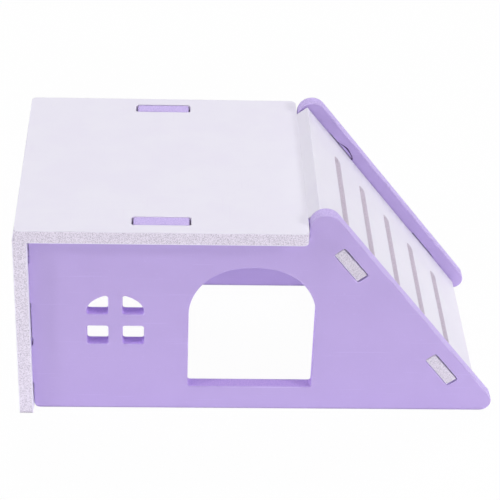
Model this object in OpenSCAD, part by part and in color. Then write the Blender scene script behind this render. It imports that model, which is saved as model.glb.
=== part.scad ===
// Small-animal hideout pushed together from five flat boards, with no glue and no screws.
// Two purple side walls stand on the ground. Their tabs pass through slots in the white
// end wall and the white roof, and the tabs of the white ramp pass through slots in them.
// X runs from the end wall to the foot of the ramp, Y across the hideout and Z up.
// Lengths along X are measured from the end wall's outer face, then in_place() moves
// everything so that the origin is on the ground in the middle of the footprint.

/* [Boards] */
// Thickness of every board
board = 5; // [4:0.1:6]
// Inside corners of the slots, the doorway and the window panes
corner_r = 1; // [0.5:0.1:1.5]
// Play across a tab's thickness in its slot
slot_play = 0.35; // [0.3:0.05:0.6]
// Part of that play that stays under the ramp's tabs, which rest low in their slots
seat_gap = 0.1; // [0.05:0.01:0.15]
// Play along a tab's length in its slot
tab_play = 1.2; // [0.6:0.1:2]

/* [House] */
// Width across the outer faces of the side walls
house_w = 85; // [75:1:100]
// Height of the side walls up to the underside of the roof
wall_h = 75; // [72:0.5:90]
// Gap between the end wall and the shoulders of the side walls
shoulder_gap = 0.25; // [0.1:0.05:0.6]
// Rounding of the side walls' lower corner beside the end wall
heel_r = 2; // [1:0.5:5]
// Rounding of the side walls' lower corner at the foot of the ramp
toe_r = 4; // [2:0.5:6]
// Rounding of the peak where the side walls rise past the roof
peak_r = 5.6; // [4:0.1:6]
// Gap between the roof's edge and the peak
peak_gap = 0.4; // [0.2:0.1:1]

/* [Roof] */
// Length of the roof
roof_len = 101.2; // [95:0.2:120]
// Distance that the roof stops short of the end wall's outer face
roof_setback = 0.8; // [0:0.1:2]
// Overhang of the roof past each side wall
roof_overhang = 5; // [3:0.5:10]
// Corners of the roof seen from above
roof_r = 2; // [1:0.5:6]
// Length of the tab that holds the roof on each side wall
roof_tab_len = 19.4; // [12:0.1:26]
// Middle of that tab, from the end wall's outer face
roof_tab_x = 51.1; // [45:0.1:60]

/* [End wall] */
// Distance that the end wall stands out past each side wall
end_overhang = 3.5; // [2:0.5:8]
// Height of each tab that enters the end wall
end_tab_h = 17; // [10:0.5:18]
// Underside of the lower tab
end_tab_low_z = 11; // [8:0.5:14]
// Underside of the upper tab
end_tab_high_z = 46.5; // [38:0.5:49]
// Room above each tab in its slot
end_slot_room = 3.6; // [1:0.1:4]

/* [Doorway] */
// Width of the doorway
door_w = 45.3; // [42:0.1:50]
// Middle of the doorway, from the end wall's outer face
door_x = 83.7; // [80:0.1:86]
// Height of the doorway's sill
door_sill = 10.1; // [5:0.1:14]
// Height at which the doorway's arch begins
door_spring = 42.1; // [36:0.1:46]
// Radius of the two side arcs of the doorway's arch
door_side_r = 20; // [14:0.1:20.9]
// Radius of the top arc of the doorway's arch
door_top_r = 32; // [28:0.1:60]

/* [Window] */
// Width of the window across its panes
window_w = 20.4; // [18:0.1:24]
// Middle of the window, from the end wall's outer face
window_x = 35; // [30:0.1:40]
// Height of the window's sill
window_sill = 28.9; // [24:0.1:32]
// Height of the two lower panes
pane_h = 8; // [6:0.1:8.5]
// Width of the window's upright bar and crossbar
bar_w = 5; // [4:0.1:6]
// Height at which the window's arch begins
window_spring = 42.8; // [42.2:0.1:45]
// Radius of the two side arcs of the window's arch
window_side_r = 6; // [4:0.1:7]
// Radius of the top arc of the window's arch
window_top_r = 12.4; // [11.5:0.1:20]

/* [Ramp] */
// Slope of the ramp and of the side walls' long edge, in degrees
slope = 51.6; // [46:0.1:56]
// Depth of the ramp's surface below the long edge of the side walls
ramp_inset = 4.6; // [3:0.1:7]
// Gap between the ramp and each side wall
ramp_gap = 0.5; // [0.3:0.1:1]
// Length of each tab on the ramp
ramp_tab_len = 13.6; // [10:0.1:16]
// Middle of the tabs, from the nearer end of the ramp
ramp_tab_inset = 22.1; // [16:0.1:30]

/* [Grooves] */
// Number of foothold grooves across the ramp
groove_count = 5; // [1:1:5]
// Spacing of the grooves, which lie about the middle of the ramp
groove_pitch = 16.5; // [8:0.1:20]
// Length of each groove
groove_len = 46.2; // [20:0.1:70]
// Depth of each groove
groove_depth = 1.3; // [0.4:0.1:1.8]
// Radius of the round cutter that makes the grooves
groove_cutter_r = 2; // [1.8:0.1:3]

/* [Hidden] */
$fn = 96;
purple = [0.73, 0.66, 0.88];
white = [0.92, 0.91, 0.95];
// A cut runs this far past the faces that it opens
past = 1;

roof_top = wall_h + board;
roof_end = roof_setback + roof_len;
wall_y = (house_w - board) / 2;
end_w = house_w + 2 * end_overhang;
end_tabs_z = [end_tab_low_z, end_tab_high_z];
shoulder_x = board + shoulder_gap;

// The ramp leans on the roof's upper edge and stands on the ground
ramp_len = roof_top / sin(slope);
ramp_w = house_w - 2 * board - 2 * ramp_gap;
ramp_tabs = [ramp_tab_inset, ramp_len - ramp_tab_inset];
uphill_normal = [sin(slope), cos(slope)];

// The walls' long edge runs parallel to the ramp and would meet the ground at edge_x
edge_x = roof_end + roof_top / tan(slope) + (board + ramp_inset) / sin(slope);
toe = [edge_x - toe_r / tan(slope / 2), toe_r];
overall_len = toe.x + toe_r;

// The peak's arc touches the upright face beside the roof and the long edge
peak_x = roof_end + peak_gap;
peak = [peak_x + peak_r, (edge_x - peak_x - peak_r) * tan(slope) - peak_r / cos(slope)];

// A slot's rounded corner stays clear of the square corner of the tab inside it
end_play = tab_play / 2;
slot_r = min(corner_r, end_play + seat_gap + sqrt(2 * end_play * seat_gap));

// At the surface a groove is narrower than its cutter
groove_half_w = sqrt(groove_depth * (2 * groove_cutter_r - groove_depth));
groove_start = (ramp_len - (groove_count - 1) * groove_pitch) / 2;

module in_place() {
    translate([-overall_len / 2, 0, 0]) children();
}

// Rectangle from the origin with all four corners rounded
module rounded_rect(size, r) {
    translate([r, 0]) square([size.x - 2 * r, size.y]);
    translate([0, r]) square([size.x, size.y - 2 * r]);
    for (x = [r, size.x - r], y = [r, size.y - r])
        translate([x, y]) circle(r);
}

// Slot around a tab that lies along x from the origin, with the given play under it
module tab_slot(tab_len, under) {
    translate([-end_play, -under])
        rounded_rect([tab_len + tab_play, board + slot_play], slot_r);
}

// Centre of a three-centred arch's top arc, below the line where the arch begins
function top_arc_drop(half_w, side_r, top_r) =
    sqrt(pow(top_r - side_r, 2) - pow(half_w - side_r, 2));

// Opening under a three-centred arch: each side arc runs smoothly into the wide top arc
module arched_opening(half_w, sill, spring, side_r, top_r) {
    side_x = half_w - side_r;
    drop = top_arc_drop(half_w, side_r, top_r);
    far = 2 * top_r / (top_r - side_r);
    translate([-half_w, sill])
        rounded_rect([2 * half_w, spring - sill + corner_r], corner_r);
    for (side = [-1, 1])
        translate([side * side_x, spring]) circle(side_r);
    translate([0, spring - drop])
        intersection() {
            circle(top_r);
            polygon([[0, 0], far * [side_x, drop], far * [-side_x, drop]]);
        }
}

module doorway() {
    arched_opening(door_w / 2, door_sill, door_spring, door_side_r, door_top_r);
}

// Right half of the window: a square pane below and an arched pane above the crossbar
module window_side() {
    pane_w = (window_w - bar_w) / 2;
    upper_sill = window_sill + pane_h + bar_w;
    top_arc = [0, window_spring - top_arc_drop(window_w / 2, window_side_r, window_top_r)];
    // Arc that rounds the upper pane where the arch meets the upright bar
    inner_x = bar_w / 2 + corner_r;
    inner = [inner_x, top_arc.y + sqrt(pow(window_top_r - corner_r, 2) - pow(inner_x, 2))];
    crown = top_arc + (inner - top_arc) * (window_top_r + past) / (window_top_r - corner_r);
    translate([bar_w / 2, window_sill]) rounded_rect([pane_w, pane_h], corner_r);
    difference() {
        intersection() {
            arched_opening(window_w / 2, window_sill, window_spring, window_side_r, window_top_r);
            translate([bar_w / 2, upper_sill]) rounded_rect([pane_w, window_top_r], corner_r);
        }
        polygon([[0, inner.y], inner, crown, [0, crown.y]]);
    }
    translate(inner) circle(corner_r);
}

module window() {
    for (side = [0, 1])
        mirror([side, 0]) window_side();
}

// Slots that take the ramp's tabs, in the side walls' plane
module ramp_slots() {
    translate([roof_end, roof_top]) rotate(-slope)
        for (middle = ramp_tabs)
            translate([middle - ramp_tab_len / 2, 0]) tab_slot(ramp_tab_len, seat_gap);
}

// Side wall's outline: arcs at the heel, the toe and the peak, with straight edges between
module wall_outline() {
    heel = [shoulder_x + heel_r, heel_r];
    polygon([
        [shoulder_x, heel.y], [heel.x, 0], [toe.x, 0], toe + toe_r * uphill_normal,
        peak + peak_r * uphill_normal, [peak_x, peak.y], [peak_x, wall_h], [shoulder_x, wall_h]
    ]);
    translate(heel) circle(heel_r);
    translate(toe) circle(toe_r);
    translate(peak) circle(peak_r);
}

module wall_tabs() {
    for (z = end_tabs_z)
        translate([0, z]) square([shoulder_x + board, end_tab_h]);
    translate([roof_tab_x - roof_tab_len / 2, wall_h - board]) square([roof_tab_len, 2 * board]);
}

module side_wall() {
    translate([0, board / 2, 0]) rotate([90, 0, 0]) linear_extrude(board)
        difference() {
            union() {
                wall_outline();
                wall_tabs();
            }
            translate([door_x, 0]) doorway();
            translate([window_x, 0]) window();
            ramp_slots();
        }
}

module front_wall() {
    color(purple) in_place() translate([0, -wall_y, 0]) side_wall();
}

module back_wall() {
    color(purple) in_place() translate([0, wall_y, 0]) side_wall();
}

module roof() {
    roof_w = house_w + 2 * roof_overhang;
    color(white) in_place() translate([0, 0, wall_h]) linear_extrude(board)
        difference() {
            translate([roof_setback, -roof_w / 2]) rounded_rect([roof_len, roof_w], roof_r);
            for (y = [-wall_y, wall_y])
                translate([roof_tab_x - roof_tab_len / 2, y - board / 2])
                    tab_slot(roof_tab_len, slot_play / 2);
        }
}

module end_wall() {
    slot = [board + slot_play, end_tab_h + end_play + end_slot_room];
    color(white) in_place() rotate([90, 0, 90]) linear_extrude(board)
        difference() {
            translate([-end_w / 2, 0]) square([end_w, wall_h]);
            for (y = [-wall_y, wall_y], z = end_tabs_z)
                translate([y - slot.x / 2, z - end_play]) rounded_rect(slot, slot_r);
        }
}

// Cutter's path for one groove: a rod with ball ends
module groove() {
    half_path = groove_len / 2 - groove_half_w;
    rotate([90, 0, 0]) cylinder(h = 2 * half_path, r = groove_cutter_r, center = true);
    for (side = [-1, 1])
        translate([0, side * half_path, 0]) sphere(groove_cutter_r);
}

module ramp() {
    color(white) in_place() translate([roof_end, 0, roof_top]) rotate([0, slope, 0])
        difference() {
            union() {
                translate([0, -ramp_w / 2, 0]) cube([ramp_len, ramp_w, board]);
                for (middle = ramp_tabs)
                    translate([middle - ramp_tab_len / 2, -house_w / 2, 0])
                        cube([ramp_tab_len, house_w, board]);
            }
            for (i = [0 : groove_count - 1])
                translate([groove_start + i * groove_pitch, 0, board - groove_depth + groove_cutter_r])
                    groove();
        }
}

front_wall();
back_wall();
roof();
end_wall();
ramp();
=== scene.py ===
import math

import bpy
from mathutils import Matrix, Vector


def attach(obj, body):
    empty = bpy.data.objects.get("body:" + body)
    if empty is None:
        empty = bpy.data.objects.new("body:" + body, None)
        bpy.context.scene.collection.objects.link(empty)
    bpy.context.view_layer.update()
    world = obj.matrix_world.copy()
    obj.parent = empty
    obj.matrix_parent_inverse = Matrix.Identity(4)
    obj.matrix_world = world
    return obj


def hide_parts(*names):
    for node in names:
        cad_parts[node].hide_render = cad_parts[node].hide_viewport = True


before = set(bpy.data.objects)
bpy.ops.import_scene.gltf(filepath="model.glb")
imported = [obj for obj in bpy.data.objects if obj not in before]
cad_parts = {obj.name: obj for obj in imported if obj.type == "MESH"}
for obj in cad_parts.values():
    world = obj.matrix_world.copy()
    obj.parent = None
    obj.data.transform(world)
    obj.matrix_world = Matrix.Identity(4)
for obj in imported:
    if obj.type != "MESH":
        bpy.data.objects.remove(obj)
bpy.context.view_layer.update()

bpy.ops.object.select_all(action="DESELECT")


# ---- Side walls ----
# Two boards of light purple PVC foam, 5 mm thick, cut on a router and pushed into the end wall by
# the tabs on their left edges. The faces keep the foam's own satin skin. The cut edges show its
# fine cells, and their arrises are eased, because the cutter and the sanding take the corners off.

board_thickness = 0.005
face_mm = board_thickness / 2 * 1000     # from the middle of a board to its faces
wall_middle = 0.040
outer_face = wall_middle + board_thickness / 2
inner_face = wall_middle - board_thickness / 2
wall_top = 0.075
wall_easing = 0.0008
welded_within = 1e-6
same_place = 1e-5
same_plane = math.radians(0.5)
arris_angle = math.radians(35)


def eased_board(node, easing, share=None, press=None):
    """The board of a CAD node, with its arrises eased. press first gives it the shape that its fits
    press it to. share gives an edge's share of the easing, and an edge with none stays sharp."""
    board = bpy.data.objects.new(node + "_board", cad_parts[node].data.copy())
    bpy.context.scene.collection.objects.link(board)
    bpy.ops.object.select_all(action="DESELECT")
    board.select_set(True)
    bpy.context.view_layer.objects.active = board
    bpy.ops.mesh.customdata_custom_splitnormals_clear()
    bpy.ops.object.mode_set(mode="EDIT")
    bpy.ops.mesh.select_all(action="SELECT")
    bpy.ops.mesh.remove_doubles(threshold=welded_within)
    bpy.ops.mesh.dissolve_limited(angle_limit=same_plane, delimit={"NORMAL"})
    bpy.ops.mesh.faces_shade_smooth()
    bpy.ops.mesh.mark_sharp(clear=True)
    bpy.ops.object.mode_set(mode="OBJECT")
    if press:
        press(board)
    bpy.ops.object.mode_set(mode="EDIT")
    bpy.ops.mesh.select_mode(type="EDGE")
    bpy.ops.mesh.select_all(action="DESELECT")
    bpy.ops.mesh.edges_select_sharp(sharpness=arris_angle)
    bpy.ops.transform.edge_bevelweight(value=1.0)
    bpy.ops.object.mode_set(mode="OBJECT")
    if share:
        weights = board.data.attributes["bevel_weight_edge"].data
        for edge in board.data.edges:
            if weights[edge.index].value:
                ends = [board.data.vertices[v].co for v in edge.vertices]
                weights[edge.index].value = share(*ends)
                edge.use_edge_sharp = weights[edge.index].value == 0.0
    arris = board.modifiers.new("eased arris", "BEVEL")
    arris.width = easing
    arris.segments = 3
    arris.limit_method = "WEIGHT"
    arris.use_clamp_overlap = False
    arris.harden_normals = True
    bpy.ops.object.modifier_apply(modifier=arris.name)
    board.data.materials.clear()
    return board


def note_across(board, middle, across):
    """Keeps how far each point lies from the middle of the board's thickness, in millimetres."""
    noted = board.data.attributes.new("across_mm", "FLOAT", "POINT")
    for i, v in enumerate(board.data.vertices):
        noted.data[i].value = (v.co - middle).dot(across) * 1000


def add(tree, kind, label, **settings):
    """One node, with its name and settings."""
    made = tree.nodes.new(kind)
    made.label = made.name = label
    for key, value in settings.items():
        setattr(made, key, value)
    return made


def group_of(name, takes, gives):
    """An empty node group with its named inputs and outputs."""
    tree = bpy.data.node_groups.new(name, "ShaderNodeTree")
    for socket, kind in takes:
        tree.interface.new_socket(socket, in_out="INPUT", socket_type=kind)
    for socket, kind in gives:
        tree.interface.new_socket(socket, in_out="OUTPUT", socket_type=kind)
    return tree, add(tree, "NodeGroupInput", "in"), add(tree, "NodeGroupOutput", "out")


def spread(tree, source, low, high, to_low, to_high, label):
    """A value spread smoothly from one range to another."""
    made = add(tree, "ShaderNodeMapRange", label, interpolation_type="SMOOTHSTEP")
    made.inputs["From Min"].default_value = low
    made.inputs["From Max"].default_value = high
    made.inputs["To Min"].default_value = to_low
    made.inputs["To Max"].default_value = to_high
    tree.links.new(source, made.inputs["Value"])
    return made.outputs["Result"]


def sums(tree, operation, first, second, label):
    """Two values put together. Each is a socket or a number."""
    made = add(tree, "ShaderNodeMath", label, operation=operation)
    for socket, value in zip(made.inputs, (first, second)):
        if isinstance(value, (int, float)):
            socket.default_value = value
        else:
            tree.links.new(value, socket)
    return made.outputs[0]


def noise(tree, place, scale, detail, label, roughness=0.5):
    """Soft noise over a place, with so many lumps to the metre."""
    made = add(tree, "ShaderNodeTexNoise", label)
    made.inputs["Scale"].default_value = scale
    made.inputs["Detail"].default_value = detail
    made.inputs["Roughness"].default_value = roughness
    tree.links.new(place, made.inputs["Vector"])
    return made.outputs["Fac"]


# Where the board was cut: the skin is about a third of a millimetre thick, then the foam shows.
# These depths under the face are in millimetres.
skin_thins, skin_ends = 0.18, 0.42
arris_full, arris_fades = 0.06, 0.16

cut_marks, took, gave = group_of(
    "Cut and arris",
    [("Across", "NodeSocketFloat")],
    [("Cut", "NodeSocketFloat"), ("Arris", "NodeSocketFloat")],
)
depth = sums(cut_marks, "ABSOLUTE", took.outputs["Across"], 0.0, "off the middle")
depth = sums(cut_marks, "SUBTRACT", face_mm, depth, "depth under the face")
cut = spread(cut_marks, depth, skin_thins, skin_ends, 0.0, 1.0, "skin ends")
round_start = spread(cut_marks, depth, 0.0, arris_full, 0.0, 1.0, "round starts")
round_end = spread(cut_marks, depth, arris_fades, skin_ends, 1.0, 0.0, "round ends")
arris = sums(cut_marks, "MULTIPLY", round_start, round_end, "arris")
cut_marks.links.new(cut, gave.inputs["Cut"])
cut_marks.links.new(arris, gave.inputs["Arris"])

# The moulded skin: faint clouding, a satin orange peel and hairline scuffs from handling
cloud_scale, peel_scale = 70, 1900
scuff_runs = (
    # turned by, in radians, and lumps to the metre, few of them along the hairlines
    ((0.3, 0.9, 0.5), (40, 1500, 1500)),
    ((1.1, 0.2, 2.0), (1300, 50, 1300)),
)
sharpest_scuffs = (0.68, 0.76)
scuff_relief = -0.35

skin_marks, took, gave = group_of(
    "Foam skin",
    [("Position", "NodeSocketVector")],
    [("Cloud", "NodeSocketFloat"), ("Scuffs", "NodeSocketFloat"), ("Relief", "NodeSocketFloat")],
)
place = took.outputs["Position"]
cloud = noise(skin_marks, place, cloud_scale, 3, "clouding")
peel = noise(skin_marks, place, peel_scale, 2, "orange peel")
scuffs = 0.0
for turned, lumps in scuff_runs:
    drawn = add(skin_marks, "ShaderNodeMapping", "scuff direction")
    drawn.inputs["Rotation"].default_value = turned
    drawn.inputs["Scale"].default_value = lumps
    skin_marks.links.new(place, drawn.inputs["Vector"])
    hair = noise(skin_marks, drawn.outputs["Vector"], 1, 1, "hairlines")
    line = spread(skin_marks, hair, *sharpest_scuffs, 0.0, 1.0, "only the sharpest")
    scuffs = sums(skin_marks, "MAXIMUM", scuffs, line, "all scuffs")
relief = sums(skin_marks, "MULTIPLY", scuffs, scuff_relief, "scuffs cut in")
relief = sums(skin_marks, "ADD", relief, peel, "skin relief")
skin_marks.links.new(cloud, gave.inputs["Cloud"])
skin_marks.links.new(scuffs, gave.inputs["Scuffs"])
skin_marks.links.new(relief, gave.inputs["Relief"])

# The cut foam: cells of about a third of a millimetre, some of them torn open
cell_scale, crumb_scale, torn_scale = 3000, 2300, 1200
crumb_roughness = 0.65
deepest_pits = (0.64, 0.72)
dome_height = 0.45

grain_marks, took, gave = group_of(
    "Cut foam grain",
    [("Position", "NodeSocketVector")],
    [("Grain", "NodeSocketFloat"), ("Pits", "NodeSocketFloat"), ("Relief", "NodeSocketFloat")],
)
place = took.outputs["Position"]
cells = add(grain_marks, "ShaderNodeTexVoronoi", "cells")
cells.inputs["Scale"].default_value = cell_scale
cells.inputs["Randomness"].default_value = 1.0
grain_marks.links.new(place, cells.inputs["Vector"])
crumb = noise(grain_marks, place, crumb_scale, 4, "crumb", crumb_roughness)
torn = noise(grain_marks, place, torn_scale, 2, "torn cells")
pits = spread(grain_marks, torn, *deepest_pits, 0.0, 1.0, "only the deepest")
domes = sums(grain_marks, "MULTIPLY", cells.outputs["Distance"], dome_height, "cell domes")
grain = sums(grain_marks, "ADD", crumb, domes, "crumb and cells")
relief = sums(grain_marks, "SUBTRACT", grain, pits, "pits cut in")
grain_marks.links.new(grain, gave.inputs["Grain"])
grain_marks.links.new(pits, gave.inputs["Pits"])
grain_marks.links.new(relief, gave.inputs["Relief"])


def tint(tree, share, first, second, label):
    """Two colours mixed. Each is a socket or a colour."""
    made = add(tree, "ShaderNodeMix", label, data_type="RGBA")
    for number, value in ((0, share), (6, first), (7, second)):
        if isinstance(value, bpy.types.NodeSocket):
            tree.links.new(value, made.inputs[number])
        else:
            made.inputs[number].default_value = value
    return made.outputs[2]


def from_screen(red, green, blue):
    """A colour as a screen shows it, from 0 to 255, made linear."""
    return tuple(((c / 255 + 0.055) / 1.055) ** 2.4 for c in (red, green, blue)) + (1.0,)


cloud_contrast = (0.3, 0.7)
grain_contrast = (0.5, 0.85)
scuff_paleness = 0.16
pit_darkness = 0.5
# The arrises are lightened partly by rubbing and partly by a painted highlight
rubbed_and_highlit_most = 0.8
skin_roughness, cut_roughness = 0.46, 0.85
foam_shine = 0.25
skin_relief = 0.12
relief_height = 0.00006


def foam_board(name, skin, skin_pale, cut_face, cut_dark, rubbed_and_highlit_pale):
    """A foam board's finish: satin skin, grained cut edges and lighter eased arrises, partly rubbed
    and partly a painted highlight.
    """
    finish = bpy.data.materials.new(name)
    finish.use_nodes = True
    tree = finish.node_tree
    shader = tree.nodes["Principled BSDF"]
    place = add(tree, "ShaderNodeTexCoord", "place on the board").outputs["Object"]
    across = add(tree, "ShaderNodeAttribute", "across the board", attribute_name="across_mm")
    edges = add(tree, "ShaderNodeGroup", "cut and arris", node_tree=cut_marks)
    surface = add(tree, "ShaderNodeGroup", "skin", node_tree=skin_marks)
    inside = add(tree, "ShaderNodeGroup", "grain", node_tree=grain_marks)
    tree.links.new(across.outputs["Fac"], edges.inputs["Across"])
    tree.links.new(place, surface.inputs["Position"])
    tree.links.new(place, inside.inputs["Position"])
    cut_here = edges.outputs["Cut"]

    clouded = spread(tree, surface.outputs["Cloud"], *cloud_contrast, 0.0, 1.0, "clouding")
    colour = tint(tree, clouded, skin, skin_pale, "skin colour")
    scuffed = sums(tree, "MULTIPLY", surface.outputs["Scuffs"], scuff_paleness, "faint scuffs")
    colour = tint(tree, scuffed, colour, rubbed_and_highlit_pale, "scuffed skin")
    grained = spread(tree, inside.outputs["Grain"], *grain_contrast, 0.0, 1.0, "grain")
    sawn = tint(tree, grained, cut_dark, cut_face, "cut colour")
    pitted = sums(tree, "MULTIPLY", inside.outputs["Pits"], pit_darkness, "pits")
    sawn = tint(tree, pitted, sawn, cut_dark, "pitted cut")
    colour = tint(tree, cut_here, colour, sawn, "skin or cut")
    # Paler eased arrises: partly the rubbed skin edge, partly a painted highlight where the rounded
    # edge catches the light
    rubbed_and_highlit = sums(tree, "MULTIPLY", edges.outputs["Arris"], clouded, "rubbed and highlit arris")
    rubbed_and_highlit = spread(tree, rubbed_and_highlit, 0.0, 1.0, 0.0, rubbed_and_highlit_most, "how far rubbed and highlit")
    colour = tint(tree, rubbed_and_highlit, colour, rubbed_and_highlit_pale, "arris")
    tree.links.new(colour, shader.inputs["Base Color"])

    gloss = spread(
        tree, cut_here, 0.0, 1.0, skin_roughness, cut_roughness, "satin skin, matt cut"
    )
    gloss = sums(tree, "ADD", gloss, scuffed, "duller scuffs")
    tree.links.new(gloss, shader.inputs["Roughness"])
    shader.inputs["Specular IOR Level"].default_value = foam_shine

    fine = sums(tree, "MULTIPLY", surface.outputs["Relief"], skin_relief, "fine skin relief")
    height = add(tree, "ShaderNodeMix", "skin or cut relief", data_type="FLOAT")
    tree.links.new(cut_here, height.inputs[0])
    tree.links.new(fine, height.inputs[2])
    tree.links.new(inside.outputs["Relief"], height.inputs[3])
    bump = add(tree, "ShaderNodeBump", "relief")
    bump.inputs["Distance"].default_value = relief_height
    tree.links.new(height.outputs[0], bump.inputs["Height"])
    tree.links.new(bump.outputs["Normal"], shader.inputs["Normal"])
    return finish


purple_skin = {
    "skin": from_screen(186, 166, 222),
    "skin_pale": from_screen(188, 168, 224),
    # The pale arris colour is partly rubbing, partly a painted highlight
    "rubbed_and_highlit_pale": from_screen(214, 197, 248),
}
purple_board = foam_board(
    "purple foam board",
    **purple_skin,
    cut_face=from_screen(216, 198, 249),
    cut_dark=from_screen(192, 173, 233),
)
# A deeper, more saturated purple for the cut edges in the doorways and windows: painted shade for
# the light bounced between their purple sides
opening_bounce_shade = foam_board(
    "purple foam with painted bounce shade in openings",
    **purple_skin,
    cut_face=from_screen(215, 188, 251),
    cut_dark=from_screen(194, 167, 241),
)

# The left, right, lower and upper ends of the areas that hold the doorway and the window
doorway = (-0.027, 0.021, 0.009, 0.053)
window = (-0.064, -0.039, 0.026, 0.051)


def paint_opening_shade(wall):
    """Gives the cut edges of a wall's doorway and window panes a deeper, more saturated purple:
    painted shade for the light that bounces between their purple sides.
    """
    wall.data.materials.append(opening_bounce_shade)
    for face in wall.data.polygons:
        x, z = face.center.x, face.center.z
        for left, right, low, high in (doorway, window):
            if left < x < right and low < z < high and abs(face.normal.y) < 0.5:
                face.material_index = 1


# The ramp starts where the roof ends, and its underside runs down the slope from the roof's face
roof_end = 0.015309
roof_face = 0.080
slope = math.radians(51.6)
ramp_top = Vector((roof_end, 0, roof_face))
down_ramp = Vector((math.cos(slope), 0, -math.sin(slope)))
off_ramp = Vector((math.sin(slope), 0, math.cos(slope)))

# The middles of the ramp's tabs down the slope, and half their length, in millimetres
tab_middles = (22.1, 80.0)
tab_half = 6.8


def on_slope(at):
    """How far a point lies down the ramp and off its underside, in millimetres."""
    return (at - ramp_top).dot(down_ramp) * 1000, (at - ramp_top).dot(off_ramp) * 1000


def from_tab(along):
    """How far down the ramp a point lies from the middle of the nearer tab, in millimetres."""
    return min((along - middle for middle in tab_middles), key=abs)


# The walls' slots for those tabs: how far they reach from their middles, in millimetres, and how
# far they lie lower and are closed at the wall's outer face
slot_reach = 8
slot_lies_lower = 0.00045
slot_closes = 0.0006


def close_slots(wall):
    """Closes the slots for the ramp a little towards the outer face, and sets them lower there."""
    for v in wall.data.vertices:
        along, off = on_slope(v.co)
        in_slot = abs(from_tab(along)) < slot_reach and -0.5 < off < 2 * face_mm + 0.5
        if in_slot and abs(v.co.y) > outer_face - same_place:
            v.co += down_ramp * slot_lies_lower
            if off > face_mm:
                v.co -= off_ramp * slot_closes


# From left to right, the area of the tab that holds the roof
roof_tab_left, roof_tab_right = -0.048, -0.024


def wall_share(*ends):
    """Twice as much on the upright corners of the tab that holds the roof."""
    x = ends[0].x
    upright = all(abs(at.x - x) < same_place and at.z > wall_top - same_place for at in ends)
    return 1.0 if upright and roof_tab_left < x < roof_tab_right else 0.5


front_wall = eased_board("front_wall", wall_easing, wall_share, close_slots)
front_wall.data.materials.append(purple_board)
paint_opening_shade(front_wall)

# A dark purple painted shade for the insides of the chip and the crack, where shade falls deep in
# them
painted_crack_shade = bpy.data.materials.new("painted shade in purple foam cracks")
painted_crack_shade.use_nodes = True
rough = painted_crack_shade.node_tree.nodes["Principled BSDF"]
rough.inputs["Base Color"].default_value = from_screen(92, 62, 132)
rough.inputs["Roughness"].default_value = 0.9

cutter_starts = 0.0005


def cut_into(board, name, outline, depth, finish):
    """Sinks an outline into a wall, along y, from half a millimetre in front of its face."""
    bpy.ops.mesh.primitive_circle_add(vertices=len(outline), radius=0.01, fill_type="NGON")
    cutter = bpy.context.object
    cutter.name = name
    cutter.data.materials.append(finish)
    for v, corner in zip(cutter.data.vertices, outline):
        v.co = corner
    bpy.ops.object.mode_set(mode="EDIT")
    bpy.ops.mesh.select_all(action="SELECT")
    bpy.ops.mesh.extrude_region_move(
        TRANSFORM_OT_translate={"value": (0, cutter_starts + depth, 0)}
    )
    bpy.ops.mesh.select_all(action="SELECT")
    bpy.ops.mesh.normals_make_consistent(inside=False)
    bpy.ops.object.mode_set(mode="OBJECT")
    bpy.context.view_layer.objects.active = board
    sunk = board.modifiers.new(name, "BOOLEAN")
    sunk.operation = "DIFFERENCE"
    sunk.solver = "MANIFOLD"
    sunk.material_mode = "TRANSFER"
    sunk.object = cutter
    bpy.ops.object.modifier_apply(modifier=sunk.name)
    bpy.data.objects.remove(cutter)


# The front wall's left edge is chipped above its lower tab, and the chip's inside is painted dark
# purple, as painted shade in the deep notch. Its outline is seen from the front, in millimetres.
chip = (
    (-82.2, 28.2), (-81.25, 28.2), (-81.05, 28.9), (-81.05, 30.7), (-81.25, 32.3), (-82.2, 32.3),
)
chip_depth = 0.0035
on_outer_face = [(x / 1000, -outer_face - cutter_starts, z / 1000) for x, z in chip]
cut_into(front_wall, "chip", on_outer_face, chip_depth, painted_crack_shade)
note_across(front_wall, Vector((0, -wall_middle, 0)), Vector((0, 1, 0)))
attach(front_wall, "root")
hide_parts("front_wall")

back_wall = eased_board("back_wall", wall_easing, wall_share, close_slots)
back_wall.data.materials.append(purple_board)
paint_opening_shade(back_wall)


def on_inner_face(along, off):
    """A point on the ramp's slope, in millimetres, just in front of the back wall's inner face."""
    place = ramp_top + down_ramp * along / 1000 + off_ramp * off / 1000
    return place.x, inner_face - cutter_starts, place.z


# The back wall's inner face is nicked just above the upper slot: a curved flake of the skin is
# pressed in there, with a crack along its upper edge. The outlines are in millimetres on the slope.
upper_edge = (
    (19.9, 5.40), (20.8, 5.66), (22.2, 6.18), (23.6, 6.58), (24.9, 6.80),
    (25.9, 6.66), (27.4, 6.36), (28.9, 6.00), (29.9, 5.45),
)
crack_width = (0.20, 0.28, 0.38, 0.50, 0.60, 0.50, 0.34, 0.40, 0.80)
flake = upper_edge + ((30.1, 4.2), (19.7, 4.2))
crack = upper_edge + tuple((a, o - w) for (a, o), w in zip(upper_edge, crack_width))[::-1]
flake_depth, crack_depth = 0.00023, 0.0007
cut_into(back_wall, "flake", [on_inner_face(*at) for at in flake], flake_depth, purple_board)
# The crack's sides are painted dark purple, as painted shade
cut_into(back_wall, "crack", [on_inner_face(*at) for at in crack], crack_depth, painted_crack_shade)
note_across(back_wall, Vector((0, wall_middle, 0)), Vector((0, 1, 0)))

# The flake is pressed in and not cut, so it keeps its skin
noted = back_wall.data.attributes["across_mm"]
for v in back_wall.data.vertices:
    if abs(v.co.y - inner_face - flake_depth) < 2e-6:
        noted.data[v.index].value = -face_mm
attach(back_wall, "root")
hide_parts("back_wall")


# ---- End wall ----
# One near-white board of the same foam, wider than the house. Its four slots take the tabs on the
# side walls' left edges, and the roof lies on its upper edge.

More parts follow.
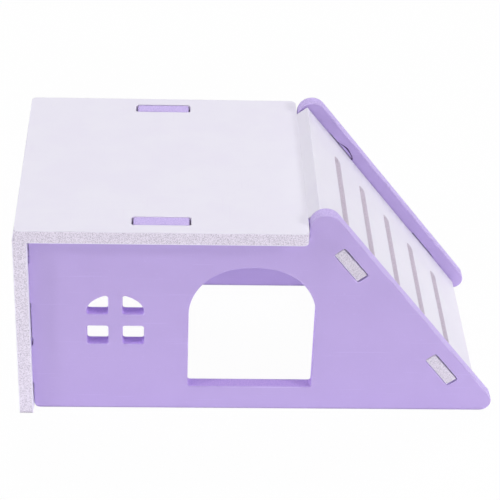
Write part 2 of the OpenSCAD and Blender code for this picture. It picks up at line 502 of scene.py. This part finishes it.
white_skin = {
    "skin": from_screen(235, 231, 245),
    "skin_pale": from_screen(237, 234, 246),
    "rubbed_and_highlit_pale": from_screen(231, 224, 241),
}
white_board = foam_board(
    "white foam board",
    **white_skin,
    cut_face=from_screen(236, 229, 244),
    cut_dark=from_screen(189, 181, 199),
)
white_easing = 0.0002
end_middle = -0.084191
end_board = eased_board("end_wall", white_easing)
note_across(end_board, Vector((end_middle, 0, 0)), Vector((1, 0, 0)))
end_board.data.materials.append(white_board)
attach(end_board, "root")
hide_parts("end_wall")


# ---- Roof ----
# One near-white board laid flat on the side walls. A tab on each wall comes up through its slot
# and ends level with the roof's face.


def roof_share(*ends):
    """None along the upper edge of the end, where the ramp fits tight."""
    at_end = all(abs(at.x - roof_end) < same_place for at in ends)
    return 0.0 if at_end and all(at.z > roof_face - same_place for at in ends) else 1.0


roof_board = eased_board("roof", white_easing, roof_share)
note_across(roof_board, Vector((0, 0, roof_face - board_thickness / 2)), Vector((0, 0, 1)))
roof_board.data.materials.append(white_board)
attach(roof_board, "root")
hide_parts("roof")


# ---- Ramp ----
# One near-white board that leans from the roof's end down to the ground between the side walls,
# held by two tabs on each side. Five grooves cut with a ball-nosed cutter give the paws a grip.

# The tabs begin at tab_root. Their tips are pressed in the slots, a little longer at the tab's
# upper and lower ends, and thinner there on the face and all along the underside.
ramp_easing = 0.0006
tab_root = 0.037
longer_above, longer_below = 0.00013, 0.0002
thinner_above, thinner_below = 0.001, 0.0007
thinner_under = 0.00013


def press_tabs(board):
    """Thins the tabs' tips, which the slots squeeze most at the upper end."""
    bpy.ops.object.mode_set(mode="EDIT")
    for side in (1, -1):
        bpy.ops.mesh.select_all(action="SELECT")
        bpy.ops.mesh.bisect(
            plane_co=(0, side * tab_root, 0), plane_no=(0, 1, 0), threshold=same_place
        )
    bpy.ops.object.mode_set(mode="OBJECT")
    for edge in board.data.edges:
        ends = [board.data.vertices[v].co for v in edge.vertices]
        along = on_slope((ends[0] + ends[1]) / 2)[0]
        at_root = all(abs(abs(at.y) - tab_root) < same_place for at in ends)
        edge.use_edge_sharp = at_root and abs(from_tab(along)) < tab_half - 0.3
    for v in board.data.vertices:
        if abs(v.co.y) > outer_face - same_place:
            along, off = on_slope(v.co)
            above = from_tab(along) < 0
            v.co += down_ramp * (-longer_above if above else longer_below)
            if off < face_mm:
                v.co += off_ramp * thinner_under
            else:
                v.co -= off_ramp * (thinner_above if above else thinner_below)


def ramp_share(*ends):
    """None along the roof, four times as much on the tips' upper ends as on the other edges."""
    if all((at - Vector((roof_end, at.y, roof_face))).length < same_place for at in ends):
        return 0.0
    at_tip = all(abs(at.y) > outer_face - same_place for at in ends)
    above = all(abs(from_tab(on_slope(at)[0]) + tab_half) < 0.5 for at in ends)
    return 1.0 if at_tip and above else 0.25


ramp_board = eased_board("ramp", ramp_easing, ramp_share, press_tabs)
note_across(ramp_board, ramp_top + off_ramp * board_thickness / 2, off_ramp)
greyer_white = foam_board(
    "white foam board of the ramp",
    **white_skin,
    cut_face=from_screen(226, 219, 233),
    cut_dark=from_screen(182, 175, 192),
)
# The grooves' colour is cut foam darkened with painted shade for the hollow
groove_cut_and_shade = foam_board(
    "cut groove in white foam with painted shade",
    skin=from_screen(207, 197, 212),
    skin_pale=from_screen(209, 199, 214),
    cut_face=from_screen(211, 201, 216),
    cut_dark=from_screen(190, 179, 195),
    rubbed_and_highlit_pale=from_screen(211, 201, 216),
)
ramp_board.data.materials.append(greyer_white)
ramp_board.data.materials.append(groove_cut_and_shade)

# The board's upper end was trimmed clean, so it shows no cells
trimmed_mm = 0.2
noted = ramp_board.data.attributes["across_mm"]
for v in ramp_board.data.vertices:
    if on_slope(v.co)[0] < trimmed_mm:
        noted.data[v.index].value = face_mm

# The grooves are greyer, partly as cut foam and partly as painted shade for their hollows, right up
# to their edges: all that lies deeper than the ramp's face, between its upper end and the grooves'
# ends
grooves_from_mm, face_ends_mm, deepest_mm = 5, 0.02, 1.5
groove_half = 0.024
for face in ramp_board.data.polygons:
    along, off = on_slope(face.center)
    sunk = face_ends_mm < 2 * face_mm - off < deepest_mm
    if sunk and along > grooves_from_mm and abs(face.center.y) < groove_half:
        face.material_index = 1
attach(ramp_board, "root")
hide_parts("ramp")


# ---- Studio ----
# A lit white table and a white surround, seven soft boxes round the house, and the camera where the
# photographer held it: in front of the house, about 33 degrees above the level.


def seen(tree):
    """1 for a ray that the camera, a reflection or a pane shows, and 0 for a ray of light."""
    ray = add(tree, "ShaderNodeLightPath", "ray").outputs
    shown = sums(tree, "MAXIMUM", ray["Is Camera Ray"], ray["Is Glossy Ray"], "seen")
    return sums(tree, "MAXIMUM", shown, ray["Is Transmission Ray"], "seen through")


def seen_or_lit(tree, share, lit, shown, end):
    """Ends a world or a material in one finish where it is seen, and in the other as it is lit."""
    choice = add(tree, "ShaderNodeMixShader", "seen or lit")
    tree.links.new(share, choice.inputs[0])
    tree.links.new(lit.outputs[0], choice.inputs[1])
    tree.links.new(shown.outputs[0], choice.inputs[2])
    tree.links.new(choice.outputs[0], tree.nodes[end].inputs["Surface"])


white = (1, 1, 1, 1)
studio = bpy.data.worlds.new("white surround")
bpy.context.scene.world = studio
studio.use_nodes = True
surround = studio.node_tree.nodes["Background"]
surround.inputs["Color"].default_value = white
surround.inputs["Strength"].default_value = 0.1
backdrop = add(studio.node_tree, "ShaderNodeBackground", "seen surround")
backdrop.inputs["Color"].default_value = white
seen_or_lit(studio.node_tree, seen(studio.node_tree), surround, backdrop, "World Output")

bpy.ops.mesh.primitive_plane_add(size=4.0, location=(0, 0, 0))
table = bpy.context.object
table.name = "table"
table_white = bpy.data.materials.new("white table")
table_white.use_nodes = True
tree = table_white.node_tree
matt = tree.nodes["Principled BSDF"]
matt.inputs["Base Color"].default_value = (0.92, 0.92, 0.92, 1)
matt.inputs["Roughness"].default_value = 0.9
glow = add(tree, "ShaderNodeEmission", "white of the photograph")
glow.inputs["Strength"].default_value = 1.0
mostly = sums(tree, "MULTIPLY", seen(tree), 0.97, "leaves a faint shadow")
seen_or_lit(tree, mostly, matt, glow, "Material Output")
table.data.materials.append(table_white)

lit_from = 1.6
lit_at = Vector((0, 0, 0.04))
soft_boxes = (
    # name, degrees round from the front, degrees up, side in metres, watts
    ("front box", -1, 24, 0.2, 4.5),
    ("left box", -70, 28, 0.22, 6.1),
    ("high left box", -75, 60, 0.6, 2.7),
    ("right box", 67, 28, 0.25, 7.2),
    ("far right box", 95, 25, 0.3, 0.8),
    ("high right box", 75, 60, 0.6, 3.1),
    ("high back box", 180, 60, 0.6, 9.4),
)
for name, round_from_front, up, side, watts in soft_boxes:
    lamp = bpy.data.lights.new(name, "AREA")
    lamp.shape = "SQUARE"
    lamp.size = side
    lamp.energy = watts
    hung = bpy.data.objects.new(name, lamp)
    bpy.context.scene.collection.objects.link(hung)
    turn, tilt = math.radians(round_from_front), math.radians(up)
    outward = Vector(
        (math.sin(turn) * math.cos(tilt), -math.cos(turn) * math.cos(tilt), math.sin(tilt))
    )
    hung.location = lit_at + outward * lit_from
    hung.rotation_euler = (-outward).to_track_quat("-Z", "Y").to_euler()

# The table is a lit one, of milky acrylic, so light also comes up from it, in and round the house
panel = bpy.data.lights.new("lit table", "AREA")
panel.shape = "RECTANGLE"
panel.size = 0.5
panel.size_y = 0.4
panel.energy = 0.32
laid = bpy.data.objects.new("lit table", panel)
bpy.context.scene.collection.objects.link(laid)
laid.location = (0, 0, 0.0003)
laid.rotation_euler = (math.pi, 0, 0)
laid.visible_camera = False
laid.visible_glossy = False

# The lens is given as the photograph shows it, in pixels of a picture 500 wide
picture_width, lens_in_pixels = 500, 1786.08
film_width = 36
lens = bpy.data.cameras.new("camera")
lens.sensor_width = film_width
lens.lens = lens_in_pixels / picture_width * film_width
lens.clip_start = 0.01
camera = bpy.data.objects.new("camera", lens)
bpy.context.scene.collection.objects.link(camera)

held_at = (-0.033228, -0.560118, 0.410862)
pitch = math.radians(33.3247)
yaw = math.radians(3.1460)
roll = math.radians(2.3514)
ahead = Vector((math.sin(yaw) * math.cos(pitch), math.cos(yaw) * math.cos(pitch), -math.sin(pitch)))
level = Vector((math.cos(yaw), -math.sin(yaw), 0))
down = ahead.cross(level)
right = level * math.cos(roll) - down * math.sin(roll)
below = level * math.sin(roll) + down * math.cos(roll)
turned = Matrix((right, -below, -ahead)).transposed().to_4x4()
camera.matrix_world = Matrix.Translation(held_at) @ turned
bpy.context.scene.camera = camera
bpy.context.scene.view_settings.view_transform = "Standard"
